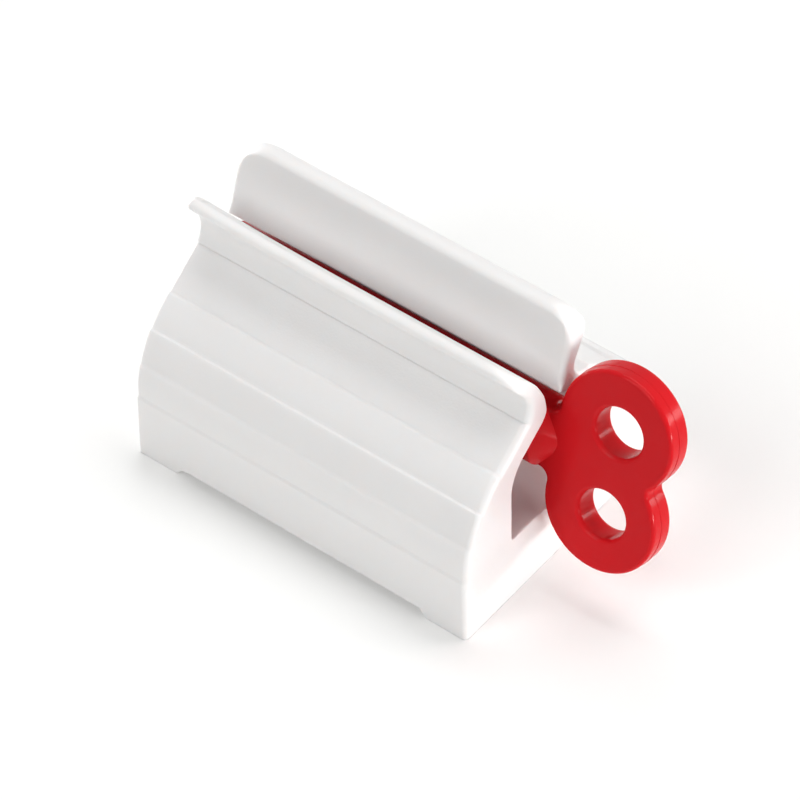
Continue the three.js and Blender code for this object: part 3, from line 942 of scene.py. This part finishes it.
def combine(obj, other, operation):
    """Joins or cuts with an exact boolean, and deletes the other object."""
    modifier = obj.modifiers.new(operation, "BOOLEAN")
    modifier.operation = operation
    modifier.solver = "EXACT"
    modifier.object = other
    made = evaluated_mesh(obj)
    obj.modifiers.clear()
    bm = bmesh.new()
    bm.from_mesh(made)
    bmesh.ops.remove_doubles(bm, verts=bm.verts, dist=SLIVER)
    bmesh.ops.dissolve_degenerate(bm, edges=bm.edges, dist=SLIVER)
    bm.to_mesh(made)
    loose = sum(not edge.is_manifold for edge in bm.edges)
    bm.free()
    old, obj.data = obj.data, made
    bpy.data.batch_remove((other, other.data, old))
    print(f"{obj.name}: {operation.lower()} leaves {len(made.polygons)} faces, {loose} open edges")


# %% [markdown]
# ## The hollow underside
#
# A moulded stand has no thick lumps, because thick plastic sinks as it cools. So the underside is
# hollow: a space under the chamber's floor, with a pocket up beside each chamber wall. Its outline
# runs one wall inside the outer face, and its solid is cut away from below.

# %% Stand: hollow
WALL = 3.2
CHAMBER_WALL = 2.4
HOLLOW_FILLET = 0.8
OVERCUT = 1.0  # reach of a cutting solid past what it cuts


def hollow_outline():
    radius = SHOULDER_RADIUS - WALL
    inner = CHAMBER_HALF + CHAMBER_WALL
    top = math.degrees(math.acos((inner - SHOULDER_CENTRE[0]) / radius))
    ceiling = CHAMBER_FLOOR - CHAMBER_WALL
    half = [(HALF_DEPTH - WALL, -OVERCUT), *arc(SHOULDER_CENTRE, radius, 0, top, 5.0)]
    peak = fillet(half[-2], half[-1], (inner, ceiling), HOLLOW_FILLET / 2)
    knee = fillet((inner, half[-1][1]), (inner, ceiling), (0, ceiling), HOLLOW_FILLET)
    half = np.array(half[:-1] + peak + knee)
    return np.vstack([half * (-1, 1), half[::-1]])


hollow = drawn_solid("hollow", hollow_outline(), 0.0, HALF_LENGTH - WALL, white)
combine(stand, hollow, "DIFFERENCE")

# %% [markdown]
# ## The saddle ribs
#
# Two ribs stand on the chamber's floor, and the roller turns in the round cups at their tops. Each
# cup is a little wider than the roller, so that it turns freely. A rib is one outline drawn out by
# its thickness and joined to the stand.

# %% Stand: saddles
KEY_SADDLE_RECESS = 8.0  # from the key's end face in to its saddle
FAR_SADDLE_RECESS = 3.0
SADDLE_LENGTH = 2.0
SADDLE_CHEEK = 1.05  # material beside the cup, at its rim
SADDLE_RIM_DROP = 2.0  # rim below the roller's axis
SADDLE_FILLET = 0.3
SADDLE_EDGE = 0.25
ROLLER_CLEARANCE = 0.3
KEY_SADDLE = HALF_LENGTH - KEY_SADDLE_RECESS - SADDLE_LENGTH / 2
FAR_SADDLE = FAR_SADDLE_RECESS + SADDLE_LENGTH / 2 - HALF_LENGTH


def saddle_outline():
    cup = ROLLER_RADIUS + ROLLER_CLEARANCE
    rim = math.degrees(math.asin(SADDLE_RIM_DROP / cup))
    cheek = cup * cos(rim) + SADDLE_CHEEK
    bowl = arc((0.0, AXIS_HEIGHT), cup, 180 + rim, 270, 5.0)
    foot = (-cheek, CHAMBER_FLOOR - CHAMBER_WALL / 2)
    shoulder = fillet(foot, (-cheek, AXIS_HEIGHT - SADDLE_RIM_DROP), bowl[0], SADDLE_FILLET)
    half = np.array([foot, *shoulder, *bowl])
    return np.vstack([half, (half * (-1, 1))[::-1][1:]])


for where in (KEY_SADDLE, FAR_SADDLE):
    rib = drawn_solid("saddle", saddle_outline(), SADDLE_EDGE, SADDLE_LENGTH / 2, white, where)
    combine(stand, rib, "UNION")

# %% [markdown]
# ## The winding key: roller
#
# The key is one glossy red moulding, built about its own axis. The roller is a circle drawn out
# along X. Its far tip has a rounded edge, and at the handle it narrows in a cone until it is as
# thick as the handle. The cone needs no piece of its own: its stations have a dent that grows.

# %% Key: roller
ROLLER_OVERHANG = 2.9  # past the far saddle
ROLLER_TIP = FAR_SADDLE - SADDLE_LENGTH / 2 - ROLLER_OVERHANG
TIP_EDGE = 0.3
SHOULDER_INSET = 1.45  # where the cone starts, inside the end face
SHOULDER_X = end_at(AXIS_HEIGHT) - SHOULDER_INSET
SHOULDER_LENGTH = 2.45
SHOULDER_FILLET = 0.5
ROLLER_SIDES = 96
HANDLE_THICKNESS = 4.0


def roller():
    angles = np.linspace(0, -360, ROLLER_SIDES, endpoint=False)
    circle = np.array([polar((0, 0), ROLLER_RADIUS, a) for a in angles])
    end = SHOULDER_X + SHOULDER_LENGTH
    half, middle = (end - ROLLER_TIP) / 2, (end + ROLLER_TIP) / 2
    cone = ROLLER_RADIUS - HANDLE_THICKNESS / 2
    soft = fillet((ROLLER_TIP, 0.0), (SHOULDER_X, 0.0), (end, cone), SHOULDER_FILLET, 5)
    stations = [s for s in round_stations([]) if s[0] < 0] + [(0.0, 0.0, 0.0)]
    stations += [((x - middle) / half, 0.0, dent) for x, dent in [*soft, (end, cone)]]
    return drawn_solid("key_moulding", circle, TIP_EDGE, half, red, middle, stations, (1.0, 0.0))


key = roller()

# %% [markdown]
# ## The winding key: handle
#
# The handle is a figure of eight, drawn out through its thickness, with two finger holes as inner
# outlines. Small circles round off the waist and the places where the rings run into the shank,
# and a tongue reaches into the roller, so that the two join well.
#
# The real handle shows a fine raised band round the middle of its rim, where the two halves of the
# mould met: two stations with a small negative dent make that band.

# %% Key: handle
HANDLE_EDGE = 0.55
BORE_EDGE = 0.65
RING_RADIUS = 8.55
RING_SPACING = 12.9
BORE_RADIUS = 3.6
BORE_OFFSET = 0.4
WAIST_FILLET = 1.5
SHANK_FILLET = 1.5
TONGUE_LENGTH = 1.5
HANDLE_CLEARANCE = 0.35  # end face to handle
HANDLE_X = end_at(AXIS_HEIGHT) + HANDLE_CLEARANCE + RING_RADIUS
HANDLE_PITCH = 0.8
PARTING_BAND = 0.17  # half width of the raised band, as a share of the flat rim
PARTING_SLOPE = 0.04
PARTING_RISE = 0.06


def handle_outline():
    half = RING_SPACING / 2
    ring = (0.0, half)
    tongue_half = math.sqrt(ROLLER_RADIUS**2 - (HANDLE_THICKNESS / 2) ** 2)
    height = tongue_half + SHANK_FILLET
    shank = (-math.sqrt((RING_RADIUS + SHANK_FILLET) ** 2 - (height - half) ** 2), height)
    waist = (math.sqrt((RING_RADIUS + WAIST_FILLET) ** 2 - half**2), 0.0)
    to_waist = bearing(ring, waist)
    from_shank = bearing(shank, ring)
    upper = arc(waist, WAIST_FILLET, 180, 180 + to_waist, 5.0)
    upper += arc(ring, RING_RADIUS, to_waist, 180 + from_shank, 3.0)[1:]
    upper += arc(shank, SHANK_FILLET, from_shank, -90, 5.0)[1:]
    upper += line(upper[-1], (SHOULDER_X - TONGUE_LENGTH - HANDLE_X, tongue_half), 0.7)[1:]
    upper = np.array(upper)
    lower = (upper[1:] * (1, -1))[::-1]
    return np.vstack([upper, lower])[::-1]


def handle():
    band = PARTING_BAND + PARTING_SLOPE
    dents = {-PARTING_BAND: -PARTING_RISE, PARTING_BAND: -PARTING_RISE}
    stations = round_stations([-band, -PARTING_BAND, PARTING_BAND, band], dents)
    half = HANDLE_THICKNESS / 2
    grids = [drawn_grid(handle_outline(), HANDLE_EDGE, stations, half, red)]
    for side in (-1, 1):
        centre = (BORE_OFFSET, side * RING_SPACING / 2)
        bore = np.array([polar(centre, BORE_RADIUS, a) for a in np.arange(0, 360, 5.0)])
        grids.append(drawn_grid(bore, BORE_EDGE, round_stations([-0.5, 0.0, 0.5]), half, red))
    points, faces = closed_solid(grids, HANDLE_PITCH)
    turned = np.column_stack([points[:, 1] + HANDLE_X, -points[:, 0], points[:, 2]])
    return solid_object("handle", turned, faces)


combine(key, handle(), "UNION")

# %% [markdown]
# ## The winding key: slit
#
# The slit holds the tube's tail. It runs through the roller from its far tip to just before the
# saddle at the handle, where it ends in a half round. It is one more outline, turned on its side
# and cut away.

# %% Key: slit for the tube's tail
SLIT_WIDTH = 1.8
SLIT_END_GAP = 1.0
SLIT_END = KEY_SADDLE - SADDLE_LENGTH / 2 - SLIT_END_GAP


def slit():
    half = SLIT_WIDTH / 2
    open_end = ROLLER_TIP - OVERCUT
    round_end = arc((SLIT_END - half, 0.0), half, 90, -90, 9.0)
    outline = np.array([(open_end, half), *round_end, (open_end, -half)])
    cutter = drawn_solid("slit", outline, 0.0, ROLLER_RADIUS + OVERCUT, red)
    cutter.data.transform(Matrix.Rotation(math.radians(-90), 4, "Z"))
    return cutter


combine(key, slit(), "DIFFERENCE")

# %% [markdown]
# ## In place, in metres
#
# Both mouldings are still in millimetres about the stand's middle, and the key about its own axis.
# The points themselves are moved, tilted and scaled, so that the objects stay at the origin like
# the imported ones. Smooth shading hides the facets, and edges sharper than a set angle stay sharp.

# %% Scale to metres and set the shading
HANDLE_TILT = -14.7
SHARP_ANGLE = 35


def settle(obj, place, finish):
    """Puts a finished mesh in its place in metres, smooth except at true edges."""
    obj.data.transform(Matrix.Scale(MM, 4) @ place)
    obj.data.shade_smooth()
    obj.data.set_sharp_from_angle(angle=math.radians(SHARP_ANGLE))
    obj.data.materials.clear()
    obj.data.materials.append(finish)
    print(f"{obj.name}: {sum(len(p.vertices) - 2 for p in obj.data.polygons)} triangles, {finish.name}")


along = Matrix.Translation((STAND_MIDDLE, 0, 0))
tilt = Matrix.Rotation(math.radians(HANDLE_TILT), 4, "X")
settle(stand, along, white)
settle(key, along @ Matrix.Translation((0, 0, AXIS_HEIGHT)) @ tilt, red)

# %% [markdown]
# ## Floor and surround
#
# As in a plain studio shot, the floor is a large pale sheet that takes the soft shadow. The world
# is white for the camera and for rays that mirror or pass through something, and gives no light of
# its own, so that all the light comes from the lamps.

# %% Floor and surround
FLOOR_HALF = 3.0
FLOOR_COLOUR = (0.98, 0.98, 0.97, 1)


def add_floor():
    corners = [(-1, -1), (1, -1), (1, 1), (-1, 1)]
    points = [(x * FLOOR_HALF, y * FLOOR_HALF, 0) for x, y in corners]
    floor = mesh_object("floor", points, [(0, 1, 2, 3)])
    material = bpy.data.materials.new("pale_floor")
    material.use_nodes = True
    matt = {"Base Color": FLOOR_COLOUR, "Roughness": 0.9, "Specular IOR Level": 0.0}
    NodeTree(material.node_tree).fill(material.node_tree.nodes["Principled BSDF"], matt)
    floor.data.materials.append(material)
    print("floor:", 2 * FLOOR_HALF, "m wide")


def add_surround():
    world = bpy.data.worlds.new("studio")
    bpy.context.scene.world = world
    world.use_nodes = True
    n = NodeTree(world.node_tree)
    path = n.add("ShaderNodeLightPath")
    seen = n.math("MAXIMUM", path["Is Camera Ray"], path["Is Glossy Ray"])
    seen = n.math("MAXIMUM", seen, path["Is Transmission Ray"])
    n.fill(world.node_tree.nodes["Background"], {"Color": (1, 1, 1, 1), "Strength": seen})


add_floor()
add_surround()

# %% [markdown]
# ## Light
#
# White on white needs a tone of its own for each face. Low strips light the end faces, with a third
# behind the handle. A square lamp in front lights the terraces, and a wide one above and behind
# lights the tops. A weak lamp overhead fills the slot, and a small one puts a glint on the red rim.
# All are soft and at a plain level, so that colours render about as they are written.

# %% Lamps


def add_lamp(name, azimuth, elevation, size, power):
    """A soft lamp one metre away, turned to the object. Azimuth 0 is +X and 90 is the rear."""
    data = bpy.data.lights.new(name, "AREA")
    data.shape = "RECTANGLE"
    data.size, data.size_y = size
    data.energy = power
    lamp = add_object(name, data)
    level = cos(elevation)
    way = Vector((cos(azimuth) * level, sin(azimuth) * level, sin(elevation)))
    lamp.location = way
    lamp.rotation_euler = way.to_track_quat("Z", "Y").to_euler()
    print(f"lamp {name}: {power} W")


add_lamp("right", 0, 3, size=(0.6, 0.1), power=6.0)
add_lamp("rear_right", 48, 5, size=(0.6, 0.15), power=2.9)
add_lamp("left", 180, 3, size=(0.6, 0.1), power=5.0)
add_lamp("front", 262, 44, size=(0.6, 0.6), power=4.9)
add_lamp("rear", 92, 67, size=(1.1, 0.6), power=6.9)
add_lamp("overhead", 0, 89, size=(0.6, 0.6), power=1.6)
add_lamp("glint", 40, 16, size=(0.12, 0.12), power=0.4)
bpy.context.scene.view_settings.view_transform = "Standard"

# %% [markdown]
# ## Which body each piece rides on
#
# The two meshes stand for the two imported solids, so each rides on its own body and hides the
# solid that it replaces. Turning the key's joint then turns the red moulding in its saddles.

# %% Attach the pieces
for piece, body, slot in (
    (stand, "stand", "stand_plastic"),
    (key, "winding_key", "key_plastic"),
):
    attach(piece, body)
    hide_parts(body)
    print(piece.name, "rides on", body)
